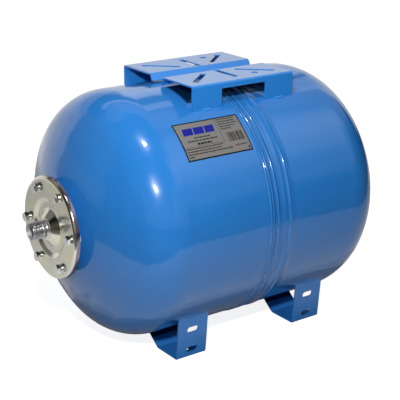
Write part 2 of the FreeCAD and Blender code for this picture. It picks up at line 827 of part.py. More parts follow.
def main():
    os.makedirs("parts", exist_ok=True)
    front_shell = make_front_shell()
    rear_shell = make_rear_shell()
    write("front_shell", front_shell)
    write("rear_shell", rear_shell)
    write("seam_weld", make_seam_weld(front_shell, rear_shell))
    write("neck_ring", make_neck_ring())
    write("neck_weld", make_neck_weld())
    write("bladder", make_bladder())
    write("inlet_flange", make_inlet_flange())
    write("inlet_nipple", make_inlet_nipple())
    write("nipple_weld", make_nipple_weld())
    write("flange_bolts", make_bolts())
    write("spring_washers", make_spring_washers())
    write("weld_nuts", make_weld_nuts())
    bracket_far = make_bracket()
    bracket_near = mirrored(bracket_far)
    write("bracket_far", bracket_far)
    write("bracket_near", bracket_near)
    write("bracket_welds", make_bracket_welds([bracket_far, bracket_near]))
    foot = make_foot()
    feet = []
    for end_name, way in (("front", -1), ("rear", 1)):
        for side_name, shape in (("far", foot), ("near", mirrored(foot))):
            placed = shape.copy()
            placed.translate(V(way * foot_spacing / 2, 0, 0))
            feet.append(placed)
            write("foot_" + end_name + "_" + side_name, placed)
    write("foot_welds", make_foot_welds(feet))
    write("valve_boss", make_valve_boss())
    write("air_valve", make_air_valve())
    write("valve_core", make_valve_core())
    write("valve_seal", make_valve_seal())
    write("valve_cap", make_valve_cap())
    write("rating_label", make_rating_label())


main()
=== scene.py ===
import json
import math
import random

import bpy
from mathutils import Matrix, Vector


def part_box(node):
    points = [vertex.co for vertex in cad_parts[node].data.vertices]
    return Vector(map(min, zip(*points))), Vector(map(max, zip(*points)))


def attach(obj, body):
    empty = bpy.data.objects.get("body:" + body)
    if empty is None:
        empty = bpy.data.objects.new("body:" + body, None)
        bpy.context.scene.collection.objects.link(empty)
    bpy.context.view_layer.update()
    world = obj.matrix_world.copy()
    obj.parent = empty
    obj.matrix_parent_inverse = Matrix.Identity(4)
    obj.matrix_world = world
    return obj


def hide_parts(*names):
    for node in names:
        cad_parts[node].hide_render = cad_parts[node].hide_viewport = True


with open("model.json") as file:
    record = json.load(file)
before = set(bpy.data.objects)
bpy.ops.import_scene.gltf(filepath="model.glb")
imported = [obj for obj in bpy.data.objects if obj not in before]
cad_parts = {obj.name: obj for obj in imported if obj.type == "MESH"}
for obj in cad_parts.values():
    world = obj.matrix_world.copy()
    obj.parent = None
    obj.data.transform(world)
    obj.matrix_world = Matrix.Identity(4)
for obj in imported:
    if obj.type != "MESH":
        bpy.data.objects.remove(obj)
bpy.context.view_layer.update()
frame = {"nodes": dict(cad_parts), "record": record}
nodes = frame["nodes"]

AXIS_HEIGHT = 0.2055
TANK_RADIUS = 0.190

# Camera at the photo's view: place in metres, angles in degrees, focal length in pixels of a 400 pixel frame
CAMERA_PLACE = (-1.0065, -1.3761, 0.7753)
CAMERA_YAW = 54.018
CAMERA_PITCH = 18.849
CAMERA_ROLL = -0.277
CAMERA_FOCAL_PIXELS = 1118.06
FRAME_PIXELS = 400
SENSOR_WIDTH = 36.0
CAMERA_RANGE = 60.0

# Colours are linear
PAINT_BLUE = (0.022, 0.189, 0.560)
# The brackets' blue is the same paint made lighter: painted light
LIT_BRACKET_BLUE = (0.026, 0.238, 0.700)
ZINC_YELLOW = (0.90, 0.88, 0.68)
ZINC_GREY = (0.80, 0.80, 0.72)
SKIRT_PAINTED_SHADE = (0.30, 0.27, 0.34)
ZINC_BRIGHT = (0.95, 0.95, 0.94)
THREAD_STEEL = (0.88, 0.88, 0.92)
BRASS = (0.72, 0.53, 0.24)
LABEL_GREY = (0.182, 0.179, 0.173)
INK_BLACK = (0.004, 0.004, 0.004)
INK_BLUE = (0.010, 0.014, 0.24)
INK_RED = (0.30, 0.008, 0.008)
INK_GREY = (0.028, 0.028, 0.027)

# Rolled rim of the inlet flange: where its painted shade starts along X, and how far from the axis
SKIRT_REACH = (-0.2800, -0.2785)
SKIRT_RADII = (0.0750, 0.0765)

# Inlet thread, G 3/4
THREAD_PITCH = 0.001814
THREAD_DEPTH = 0.00116
THREAD_LENGTH = 0.0190
THREAD_START = 0.0011
THREAD_RUN_OUT = 0.0012
THREAD_STEPS = 112
THREAD_COLUMNS = 96
THREAD_SHARP_DEGREES = 50
CREST_SHARE = 0.12
START_FADE = 0.6
MOUTH_LEAD = 0.0012
MOUTH_FACE = 0.0004
MOUTH_EDGE = 0.0002
NECK_STEP = 0.0004
BORE_CHAMFER_DEPTH = 0.0006
BORE_CHAMFER = 0.0005
NIPPLE_RADIUS = 0.01322
NIPPLE_NECK_RADIUS = 0.0126
NIPPLE_BORE_RADIUS = 0.0105

# Painted shade in the roots of the thread, and a duller and rougher bore: reaches in metres, the rest shares
ROOT_REACH = 0.0011
ROOT_SHADE = 0.85
BORE_REACH = 0.0010
BORE_SHADE = 0.60
BORE_ROUGH = 0.40

RANDOM_SEED = 11
random.seed(RANDOM_SEED)


# Node helpers

NOISE_MIDDLE = (0.3, 0.7)


def new_material(name):
    """Material with a Principled shader; gives the material, its nodes, its links and the shader."""
    mat = bpy.data.materials.new(name)
    mat.use_nodes = True
    tree = mat.node_tree
    return mat, tree.nodes, tree.links, tree.nodes["Principled BSDF"]


def set_inputs(shader, **values):
    """Set sockets of the shader by name, with _ for a space."""
    for name, value in values.items():
        shader.inputs[name.replace("_", " ")].default_value = value


def coordinates(nodes_, links, place=(0, 0, 0), scale=(1, 1, 1)):
    """Object coordinates, moved and scaled."""
    tex = nodes_.new("ShaderNodeTexCoord")
    mapping = nodes_.new("ShaderNodeMapping")
    mapping.inputs["Location"].default_value = place
    mapping.inputs["Scale"].default_value = scale
    links.new(tex.outputs["Object"], mapping.inputs["Vector"])
    return mapping.outputs["Vector"]


def noise(nodes_, links, vector, scale, detail=2.0, roughness=0.5):
    """Noise between 0 and 1, with scale in waves per metre."""
    node = nodes_.new("ShaderNodeTexNoise")
    node.inputs["Scale"].default_value = scale
    node.inputs["Detail"].default_value = detail
    node.inputs["Roughness"].default_value = roughness
    links.new(vector, node.inputs["Vector"])
    return node.outputs["Fac"]


def uneven(nodes_, links, grain, low, high):
    """Number that follows the middle part of a noise from low to high."""
    return map_range(nodes_, links, grain, *NOISE_MIDDLE, low, high)


def math_node(nodes_, links, operation, first, second=None):
    """A Math node; each input is a socket or a number."""
    node = nodes_.new("ShaderNodeMath")
    node.operation = operation
    for i, value in enumerate((first, second)):
        if value is None:
            continue
        if isinstance(value, (int, float)):
            node.inputs[i].default_value = value
        else:
            links.new(value, node.inputs[i])
    return node.outputs[0]


def map_range(nodes_, links, value, low, high, to_low, to_high, smooth=False):
    """Value from low..high to to_low..to_high, held at the ends."""
    node = nodes_.new("ShaderNodeMapRange")
    if smooth:
        node.interpolation_type = "SMOOTHSTEP"
    for name, number in (("From Min", low), ("From Max", high), ("To Min", to_low), ("To Max", to_high)):
        node.inputs[name].default_value = number
    links.new(value, node.inputs["Value"])
    return node.outputs["Result"]


def mix_colour(nodes_, links, factor, first, second):
    """First colour at factor 0, second at 1; each is a socket or three numbers."""
    node = nodes_.new("ShaderNodeMix")
    node.data_type = "RGBA"
    links.new(factor, node.inputs["Factor"])
    for socket, colour in (("A", first), ("B", second)):
        sockets = [s for s in node.inputs if s.name == socket and s.type == "RGBA"]
        if isinstance(colour, tuple):
            sockets[0].default_value = (*colour, 1.0)
        else:
            links.new(colour, sockets[0])
    return [s for s in node.outputs if s.type == "RGBA"][0]


def from_axis(nodes_, links):
    """Distance from the tank's axis."""
    away = nodes_.new("ShaderNodeVectorMath")
    away.operation = "LENGTH"
    links.new(coordinates(nodes_, links, place=(0, 0, -AXIS_HEIGHT), scale=(0, 1, 1)), away.inputs[0])
    return away.outputs["Value"]


def bump(nodes_, links, height, distance, strength=1.0, under=None):
    """Relief of height times distance in metres, on top of the relief under it."""
    node = nodes_.new("ShaderNodeBump")
    node.inputs["Distance"].default_value = distance
    node.inputs["Strength"].default_value = strength
    links.new(height, node.inputs["Height"])
    if under is not None:
        links.new(under, node.inputs["Normal"])
    return node.outputs["Normal"]


# Materials

def shade(colour, factor):
    """The colour made lighter or darker."""
    return tuple(min(1.0, c * factor) for c in colour)


# Girth seam, places along X in metres: creases beside the beads, darkened as painted shade, and the crests
# that stand between them
SEAM_CREASES = (-0.0177, -0.0120, -0.0063, -0.0042, 0.0026, 0.0069, 0.0172)
CREASE_HALF_WIDTH = 0.0009
CREASE_SHADE = 0.45
SEAM_CRESTS = (-0.01445, -0.00965, -0.0008, 0.02235)
CREST_HALF_WIDTH = 0.0014
CREST_LIFT = 0.0007

# Where the drawn ends start to pucker, and how far from the axis the shell and its weld end
KNUCKLE_REACH = (0.145, 0.175)
SHELL_REACH = (TANK_RADIUS + 0.003, TANK_RADIUS + 0.004)


def near_lines(nodes_, links, value, lines, half_width):
    """1 on each of the lines, falling to 0 at half_width from it."""
    total = None
    for line in lines:
        away = math_node(nodes_, links, "ABSOLUTE", math_node(nodes_, links, "SUBTRACT", value, line))
        peak = map_range(nodes_, links, away, 0.0, half_width, 1.0, 0.0)
        total = peak if total is None else math_node(nodes_, links, "MAXIMUM", total, peak)
    return total


# Painted shadow: the coat is darkened and dulled where shadow falls, on the shell under the brackets and high
# inside the feet
SHADED_BRACKET_Y = (0.0735, 0.0765)
SHADED_FOOT_Y = (0.0605, 0.0615)
SHADED_HEIGHT = 0.340
PAINTED_SHADOW_TONE = 0.12
PAINTED_SHADOW_GLOSS = 0.15
BRACKET_MIDDLE = 0.0055
BRACKET_REACH = (0.088, 0.094)
BRACKET_INNER_Y = (0.018, 0.022)


def painted_shadow_in_feet(nodes_, links, split):
    """1 where a foot has painted shadow, near the shell."""
    aside = math_node(nodes_, links, "ABSOLUTE", split.outputs["Y"])
    return map_range(nodes_, links, aside, *SHADED_FOOT_Y, 1.0, 0.0, True)


def painted_shadow_under_brackets(nodes_, links, split):
    """1 where the shell has painted shadow, under the brackets."""
    aside = math_node(nodes_, links, "ABSOLUTE", split.outputs["Y"])
    near = map_range(nodes_, links, aside, *SHADED_BRACKET_Y, 1.0, 0.0, True)
    high = math_node(nodes_, links, "GREATER_THAN", split.outputs["Z"], SHADED_HEIGHT)
    off_middle = math_node(nodes_, links, "SUBTRACT", split.outputs["X"], BRACKET_MIDDLE)
    along = math_node(nodes_, links, "ABSOLUTE", off_middle)
    under = map_range(nodes_, links, along, *BRACKET_REACH, 1.0, 0.0, True)
    inner = map_range(nodes_, links, aside, *BRACKET_INNER_Y, 0.0, 1.0, True)
    under = math_node(nodes_, links, "MULTIPLY", under, inner)
    return math_node(nodes_, links, "MULTIPLY", math_node(nodes_, links, "MULTIPLY", near, high), under)


def paint_material(name, blue, painted_shadow=None):
    """Glossy powder coat: even colour, slight orange peel, long waves of drawn sheet and a crisp seam with
    painted shade in its creases; if asked, a painted shadow.
    """
    mat, n, l, shader = new_material(name)
    at = coordinates(n, l)
    split = n.new("ShaderNodeSeparateXYZ")
    l.new(at, split.inputs[0])
    shell = map_range(n, l, from_axis(n, l), *SHELL_REACH, 1.0, 0.0)
    tone = noise(n, l, at, scale=9.0, detail=3.0)
    colour = mix_colour(n, l, tone, shade(blue, 0.93), shade(blue, 1.07))
    # Painted shade: the coat is darkened along the seam's creases
    creases = near_lines(n, l, split.outputs["X"], SEAM_CREASES, CREASE_HALF_WIDTH)
    dark = math_node(n, l, "MULTIPLY", math_node(n, l, "MULTIPLY", creases, shell), CREASE_SHADE)
    colour = mix_colour(n, l, dark, colour, shade(blue, 0.1))
    set_inputs(shader, Roughness=0.24, Specular_IOR_Level=0.16)
    set_inputs(shader, Coat_Weight=1.0, Coat_Roughness=0.035, Coat_IOR=1.46)
    # Painted shadow: darker blue and a weaker coat where the mask is 1
    if painted_shadow:
        painted_shadow_mask = painted_shadow(n, l, split)
        colour = mix_colour(n, l, painted_shadow_mask, colour, shade(blue, PAINTED_SHADOW_TONE))
        l.new(map_range(n, l, painted_shadow_mask, 0.0, 1.0, 1.0, PAINTED_SHADOW_GLOSS), shader.inputs["Coat Weight"])
    l.new(colour, shader.inputs["Base Color"])
    crests = near_lines(n, l, split.outputs["X"], SEAM_CRESTS, CREST_HALF_WIDTH)
    waves = bump(n, l, noise(n, l, at, scale=17.0, detail=1.5), distance=0.0009, strength=0.6)
    off_middle = math_node(n, l, "ABSOLUTE", split.outputs["X"])
    knuckle = map_range(n, l, off_middle, *KNUCKLE_REACH, 0.0, 1.0, True)
    puckers = math_node(n, l, "MULTIPLY", noise(n, l, at, scale=34.0, detail=0.5), knuckle)
    waves = bump(n, l, puckers, distance=0.0008, strength=0.6, under=waves)
    ridges = bump(n, l, math_node(n, l, "MULTIPLY", crests, shell), distance=CREST_LIFT, under=waves)
    grain = noise(n, l, at, scale=420.0, detail=2.0)
    peel = bump(n, l, grain, distance=0.000012, strength=0.6, under=ridges)
    l.new(peel, shader.inputs["Normal"])
    l.new(peel, shader.inputs["Coat Normal"])
    return mat


# Noise at which a metal's two tones meet, and how uneven its turned rings are
PATCH_EDGE = (0.35, 0.65)
RING_DISTORTION = 0.4


def metal_material(name, first, second, roughness, ring_depth=0.0, ring_scale=0.0, patch_scale=40.0,
                   skirt=None, roots=False):
    """Plated steel with patches of two tones; if asked, turned rings, painted shade on a tinted skirt and in
    the thread's roots.
    """
    mat, n, l, shader = new_material(name)
    at = coordinates(n, l, place=(0, 0, -AXIS_HEIGHT))
    patches = noise(n, l, at, patch_scale, detail=4.0, roughness=0.6)
    colour = mix_colour(n, l, map_range(n, l, patches, *PATCH_EDGE, 0.0, 1.0, True), first, second)
    wear = noise(n, l, at, scale=160.0, detail=5.0, roughness=0.65)
    worn = uneven(n, l, wear, roughness * 0.75, roughness * 1.3)
    # Painted shade on the rolled rim's skirt, for the dark that it reflects, in a purplish tint of the
    # plating
    if skirt:
        along = n.new("ShaderNodeSeparateXYZ")
        l.new(at, along.inputs[0])
        back = map_range(n, l, along.outputs["X"], *SKIRT_REACH, 0.0, 1.0, True)
        out = map_range(n, l, from_axis(n, l), *SKIRT_RADII, 0.0, 1.0, True)
        colour = mix_colour(n, l, math_node(n, l, "MULTIPLY", back, out), colour, skirt)
    # Painted shade: the thread's roots are darkened; the bore is made duller and rougher
    if roots:
        away = from_axis(n, l)
        deep = near_lines(n, l, away, (NIPPLE_RADIUS - THREAD_DEPTH,), ROOT_REACH)
        deep = math_node(n, l, "MULTIPLY", deep, ROOT_SHADE)
        colour = mix_colour(n, l, deep, colour, shade(first, 0.05))
        bore = near_lines(n, l, away, (NIPPLE_BORE_RADIUS,), BORE_REACH)
        colour = mix_colour(n, l, bore, colour, shade(first, BORE_SHADE))
        worn = math_node(n, l, "ADD", worn, math_node(n, l, "MULTIPLY", bore, BORE_ROUGH))
    l.new(colour, shader.inputs["Base Color"])
    l.new(worn, shader.inputs["Roughness"])
    normal = bump(n, l, wear, distance=0.00002, strength=0.4)
    if ring_depth:
        wave = n.new("ShaderNodeTexWave")
        wave.wave_type = "RINGS"
        wave.rings_direction = "X"
        wave.inputs["Scale"].default_value = ring_scale
        wave.inputs["Distortion"].default_value = RING_DISTORTION
        l.new(at, wave.inputs["Vector"])
        normal = bump(n, l, wave.outputs["Fac"], ring_depth, under=normal)
    l.new(normal, shader.inputs["Normal"])
    set_inputs(shader, Metallic=1.0)
    return mat


def rubber_material():
    """Matt black rubber with a fine grain."""
    mat, n, l, shader = new_material("black_rubber")
    at = coordinates(n, l)
    tone = noise(n, l, at, scale=20.0)
    l.new(mix_colour(n, l, tone, (0.018, 0.018, 0.019), (0.034, 0.033, 0.032)), shader.inputs["Base Color"])
    grain = noise(n, l, at, scale=500.0, detail=3.0)
    l.new(bump(n, l, grain, distance=0.00005, strength=0.6), shader.inputs["Normal"])
    set_inputs(shader, Roughness=0.68)
    return mat


def plastic_material():
    """Moulded black plastic, half matt."""
    mat, n, l, shader = new_material("black_plastic")
    at = coordinates(n, l)
    tone = noise(n, l, at, scale=30.0)
    l.new(mix_colour(n, l, tone, (0.012, 0.012, 0.013), (0.020, 0.020, 0.021)), shader.inputs["Base Color"])
    scuffs = noise(n, l, at, scale=220.0, detail=4.0)
    l.new(uneven(n, l, scuffs, 0.34, 0.5), shader.inputs["Roughness"])
    grain = noise(n, l, at, scale=900.0, detail=2.0)
    l.new(bump(n, l, grain, distance=0.00002, strength=0.5), shader.inputs["Normal"])
    return mat


def film_material():
    """Silvery printed film of the label."""
    mat, n, l, shader = new_material("label_film")
    at = coordinates(n, l)
    fibres = noise(n, l, coordinates(n, l, scale=(12, 160, 160)), scale=8.0, detail=3.0)
    colour = mix_colour(n, l, fibres, shade(LABEL_GREY, 0.92), shade(LABEL_GREY, 1.08))
    l.new(colour, shader.inputs["Base Color"])
    scuffs = noise(n, l, at, scale=90.0, detail=3.0)
    l.new(uneven(n, l, scuffs, 0.30, 0.42), shader.inputs["Roughness"])
    ripples = noise(n, l, at, scale=60.0, detail=1.0)
    l.new(bump(n, l, ripples, distance=0.00006, strength=0.3), shader.inputs["Normal"])
    set_inputs(shader, Specular_IOR_Level=0.2)
    return mat


def ink_material(name, colour):
    """Printed ink with an uneven coat."""
    mat, n, l, shader = new_material(name)
    grain = noise(n, l, coordinates(n, l), scale=700.0, detail=2.0)
    l.new(mix_colour(n, l, grain, shade(colour, 0.85), shade(colour, 1.2)), shader.inputs["Base Color"])
    l.new(uneven(n, l, grain, 0.40, 0.55), shader.inputs["Roughness"])
    set_inputs(shader, Specular_IOR_Level=0.15)
    return mat


MATERIALS = {
    "blue_paint": paint_material("blue_powder_coat", PAINT_BLUE, painted_shadow_under_brackets),
    "galvanised_steel": metal_material("zinc_plate", ZINC_YELLOW, ZINC_GREY, 0.17, ring_depth=0.000008,
                                       ring_scale=260.0, patch_scale=28.0, skirt=SKIRT_PAINTED_SHADE),
    "zinc_steel": metal_material("thread_steel", THREAD_STEEL, shade(THREAD_STEEL, 0.88), 0.30, roots=True),
    "zinc_fastener": metal_material("bright_zinc", ZINC_BRIGHT, shade(ZINC_BRIGHT, 0.9), 0.16),
    "rubber": rubber_material(),
    "brass": metal_material("turned_brass", BRASS, shade(BRASS, 0.85), 0.22),
    "black_plastic": plastic_material(),
    "label_film": film_material(),
}

# Painted pieces with a coat of their own, by the start of their names: the brackets get a lighter copy of the
# blue as painted light, the feet a painted shadow
NODE_MATERIALS = {
    "bracket_": paint_material("bracket_lit_powder_coat", LIT_BRACKET_BLUE),
    "foot_": paint_material("foot_powder_coat", PAINT_BLUE, painted_shadow_in_feet),
}

slot_of = {part["node"]: part["material_slot"] for part in frame["record"]["subparts"]}
for name, obj in nodes.items():
    if not obj.material_slots:
        obj.data.materials.append(None)
    own = [m for prefix, m in NODE_MATERIALS.items() if name.startswith(prefix)]
    for slot in obj.material_slots:
        slot.material = own[0] if own and slot_of[name] == "blue_paint" else MATERIALS[slot_of[name]]


# Pieces

def mesh_piece(name, verts, faces, materials, face_materials=None, smooth=True):
    """A mesh object that rides on the tank."""
    mesh = bpy.data.meshes.new(name)
    mesh.from_pydata(verts, [], faces)
    mesh.update()
    for material in materials:
        mesh.materials.append(material)
    for i, polygon in enumerate(mesh.polygons):
        polygon.use_smooth = smooth
        if face_materials:
            polygon.material_index = face_materials[i]
    obj = bpy.data.objects.new(name, mesh)
    bpy.context.scene.collection.objects.link(obj)
    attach(obj, "root")
    return obj


def around_axis(x, radius, angle):
    """A point at angle from straight up, towards -Y."""
    return (x, -radius * math.sin(angle), AXIS_HEIGHT + radius * math.cos(angle))


def thread_height(x, turn, start, end):
    """How deep the thread is cut at x and turn: a rounded V that fades in and out."""
    phase = ((x - start) / THREAD_PITCH - turn) % 1.0
    ridge = abs(2.0 * phase - 1.0)
    ridge = min(1.0, max(0.0, (ridge - CREST_SHARE) / (1.0 - 2.0 * CREST_SHARE)))
    ridge = ridge * ridge * (3 - 2 * ridge)
    fade = min(1.0, max(0.0, (x - start) / (START_FADE * THREAD_PITCH)), max(0.0, (end - x) / THREAD_PITCH))
    return THREAD_DEPTH * (1.0 - ridge) * fade


def make_inlet_thread():
    """The nipple with its cut thread, chamfered mouth and bore."""
    low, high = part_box("inlet_nipple")
    mouth, tail = low.x, high.x
    start = mouth + THREAD_START
    end = mouth + THREAD_LENGTH - THREAD_RUN_OUT
    # Each row is a place along X, a radius, and whether the thread is cut there
    rows = [(tail, NIPPLE_BORE_RADIUS, False),
            (mouth + BORE_CHAMFER_DEPTH, NIPPLE_BORE_RADIUS, False),
            (mouth, NIPPLE_BORE_RADIUS + BORE_CHAMFER, False),
            (mouth, NIPPLE_RADIUS - MOUTH_LEAD - MOUTH_FACE, False),
            (mouth + MOUTH_EDGE, NIPPLE_RADIUS - MOUTH_LEAD, False)]
    for k in range(THREAD_STEPS + 1):
        x = mouth + MOUTH_LEAD + (end - mouth - MOUTH_LEAD) * k / THREAD_STEPS
        rows.append((x, NIPPLE_RADIUS, True))
    rows += [(mouth + THREAD_LENGTH - NECK_STEP, NIPPLE_RADIUS, False),
             (mouth + THREAD_LENGTH, NIPPLE_NECK_RADIUS, False),
             (tail, NIPPLE_NECK_RADIUS, False),
             (tail, NIPPLE_BORE_RADIUS, False)]
    verts = []
    columns = THREAD_COLUMNS
    for x, radius, cut in rows:
        for c in range(columns):
            turn = c / columns
            depth = thread_height(x, turn, start, end) if cut else 0.0
            verts.append(around_axis(x, radius - depth, 2 * math.pi * turn))
    faces = []
    for r in range(len(rows) - 1):
        for c in range(columns):
            d = (c + 1) % columns
            faces.append((r * columns + c, r * columns + d, (r + 1) * columns + d, (r + 1) * columns + c))
    obj = mesh_piece("inlet_thread", verts, faces, [MATERIALS["zinc_steel"]])
    obj.data.set_sharp_from_angle(angle=math.radians(THREAD_SHARP_DEGREES))
    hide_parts("inlet_nipple")


# The label's print: places are shares of its width from the left and of its height from the top
LABEL_PRINT_LIFT = 0.00003
LABEL_FRONT = TANK_RADIUS + 0.0006
STRIP_HEIGHT = 0.04
BLACK, BLUE, RED, GREY = range(4)
BORDER_SIDE = 0.016
BORDER_EDGE = 0.030
# Rules between the fields, and a dot in the corner: left, top, right, bottom
RULES = ((0.628, 0.02, 0.633, 0.665), (0.01, 0.665, 0.633, 0.673))
CORNER_DOT = (0.945, 0.88, 0.968, 0.94)
# Three slanted bars: left and right of each, then top and bottom
BARS = ((0.085, 0.235), (0.25, 0.405), (0.42, 0.56))
BARS_HEIGHT = (0.17, 0.36)
BARS_SLANT = 0.018
# Lines of short dashes under the bars and at the lower right: left, right, top and height
BAR_LINES = ((0.22, 0.47, 0.43, 0.035), (0.10, 0.57, 0.505, 0.035))
BOLD_LINE = (0.23, 0.46, 0.585, 0.05)
LAST_LINE = (0.76, 0.96, 0.80, 0.026)
# Blocks of such lines: left and right end of each, then the top of the first, the step and the height
RIGHT_ROWS = ((0.66, 0.95), (0.66, 0.93), (0.66, 0.96), (0.66, 0.90), (0.66, 0.82))
RIGHT_TOP, RIGHT_STEP, RIGHT_HEIGHT = 0.055, 0.068, 0.03
LOWER_ROWS = ((0.03, 0.60), (0.03, 0.55), (0.03, 0.72), (0.03, 0.12))
LOWER_TOP, LOWER_STEP, LOWER_HEIGHT = 0.70, 0.066, 0.028
# Shortest and longest dash of the bold line and of the lower block
BOLD_DASHES = (0.02, 0.05)
LOWER_DASHES = (0.02, 0.08)
# Field of upright stripes: left, right, top, bottom, widths and gaps
STRIPES = (0.70, 0.945, 0.46, 0.70)
STRIPE_WIDTHS = (0.004, 0.004, 0.007, 0.011)
STRIPE_GAPS = (0.004, 0.006, 0.009)
# Small red ticks: left, top and slant
TICKS = ((0.13, 0.80, 0.010), (0.40, 0.82, -0.012), (0.69, 0.80, -0.012), (0.80, 0.78, 0.010))
TICK_SIZE = (0.010, 0.085)


class LabelPrint:
    """Collects flat patches of ink that follow the label's curve."""

    def __init__(self):
        low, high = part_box("rating_label")
        self.x0, self.x1 = low.x, high.x
        corners = [math.hypot(corner.y, corner.z - AXIS_HEIGHT) for corner in (low, high)]
        self.radius = max(*corners, LABEL_FRONT)
        self.top = math.atan2(-high.y, high.z - AXIS_HEIGHT)
        self.bottom = math.atan2(-low.y, low.z - AXIS_HEIGHT)
        self.verts, self.faces, self.inks = [], [], []

    def point(self, across, down, layer):
        """Place on the label's face, the given number of ink layers above it."""
        x = self.x0 + (self.x1 - self.x0) * across
        angle = self.top + (self.bottom - self.top) * down
        return around_axis(x, self.radius + LABEL_PRINT_LIFT * layer, angle)

    def patch(self, a0, b0, a1, b1, ink, slant=0.0, layer=1):
        """Rectangle of ink; slant moves its upper edge along by that share of the width."""
        strips = max(1, round(abs(b1 - b0) / STRIP_HEIGHT))
        base = len(self.verts)
        for k in range(strips + 1):
            share = k / strips
            b = b0 + (b1 - b0) * share
            shift = slant * (1 - share)
            self.verts += [self.point(a0 + shift, b, layer), self.point(a1 + shift, b, layer)]
        for k in range(strips):
            i = base + 2 * k
            self.faces.append((i, i + 2, i + 3, i + 1))
            self.inks.append(ink)

    def words(self, a0, a1, b, height, ink, shortest=0.012, longest=0.05, gap=0.007):
        """A row of short bars that reads as small print without being any."""
        a = a0
        while a < a1 - shortest:
            length = min(random.uniform(shortest, longest), a1 - a)
            self.patch(a, b, a + length, b + height, ink)
            a += length + gap


def make_label_print():
    """Generic print of the rating label: border, rules, bars, rows of dashes, stripes and ticks."""
    p = LabelPrint()
    p.patch(0, 0, 1, BORDER_EDGE, BLACK)
    p.patch(0, 1 - BORDER_EDGE, 1, 1, BLACK)
    p.patch(0, BORDER_EDGE, BORDER_SIDE, 1 - BORDER_EDGE, BLACK)
    p.patch(1 - BORDER_SIDE, BORDER_EDGE, 1, 1 - BORDER_EDGE, BLACK)
    for rule in RULES:
        p.patch(*rule, GREY)
    for left, right in BARS:
        p.patch(left, BARS_HEIGHT[0], right, BARS_HEIGHT[1], BLUE, slant=BARS_SLANT)
    for line in BAR_LINES:
        p.words(*line, GREY)
    p.words(*BOLD_LINE, BLACK, *BOLD_DASHES)
    for row, (left, right) in enumerate(RIGHT_ROWS):
        p.words(left, right, RIGHT_TOP + RIGHT_STEP * row, RIGHT_HEIGHT, GREY)
    a, end, top, bottom = STRIPES
    while a < end:
        width = random.choice(STRIPE_WIDTHS)
        p.patch(a, top, a + width, bottom, BLACK)
        a += width + random.choice(STRIPE_GAPS)
    for row, (left, right) in enumerate(LOWER_ROWS):
        p.words(left, right, LOWER_TOP + LOWER_STEP * row, LOWER_HEIGHT, GREY, *LOWER_DASHES)
    p.words(*LAST_LINE, GREY)
    for left, top, slant in TICKS:
        p.patch(left, top, left + TICK_SIZE[0], top + TICK_SIZE[1], RED, slant=slant, layer=2)
    p.patch(*CORNER_DOT, BLACK)
    inks = [ink_material("ink_black", INK_BLACK), ink_material("ink_blue", INK_BLUE),
            ink_material("ink_red", INK_RED), ink_material("ink_grey", INK_GREY)]
    obj = mesh_piece("label_print", p.verts, p.faces, inks, p.inks, smooth=False)


make_inlet_thread()
make_label_print()


# Studio

FLOOR_SIZE = 14.0
FLOOR_DEPTH = 0.0003
FLOOR_ALBEDO = 0.80
FLOOR_MOTTLE = 0.02
ROOM_FLOOR_ALBEDO = 0.12
# Light added to the floor, so that it is white to the camera and a pale tabletop in the paint and metal
FLOOR_WHITE = 0.86
FLOOR_IN_GLOSS = 0.02
# Far off the table runs into the lit backdrop, which reflections see
FAR_IN_GLOSS = 0.62
FAR_REACH = (0.9, 1.7)
# Straight edges of the pale tabletop: each is a direction that points off it, and how far off it lies
TABLE_EDGES = (((0.05, -1.0), 0.722), ((-0.783, -0.622), 0.560), ((0.69, -0.72), 0.80))
TABLE_FADE = 0.012
# The tank's shadow on the table, for reflections: middle, half length and half width of a rounded patch, how
# square it is, its edge, and the share of light that is left
SHADOW_MIDDLE = (0.025, 0.005)
SHADOW_HALF = (0.275, 0.152)
SHADOW_POWER = 4.0
SHADOW_EDGE = (0.84, 1.14)
SHADOW_LIGHT = 0.36


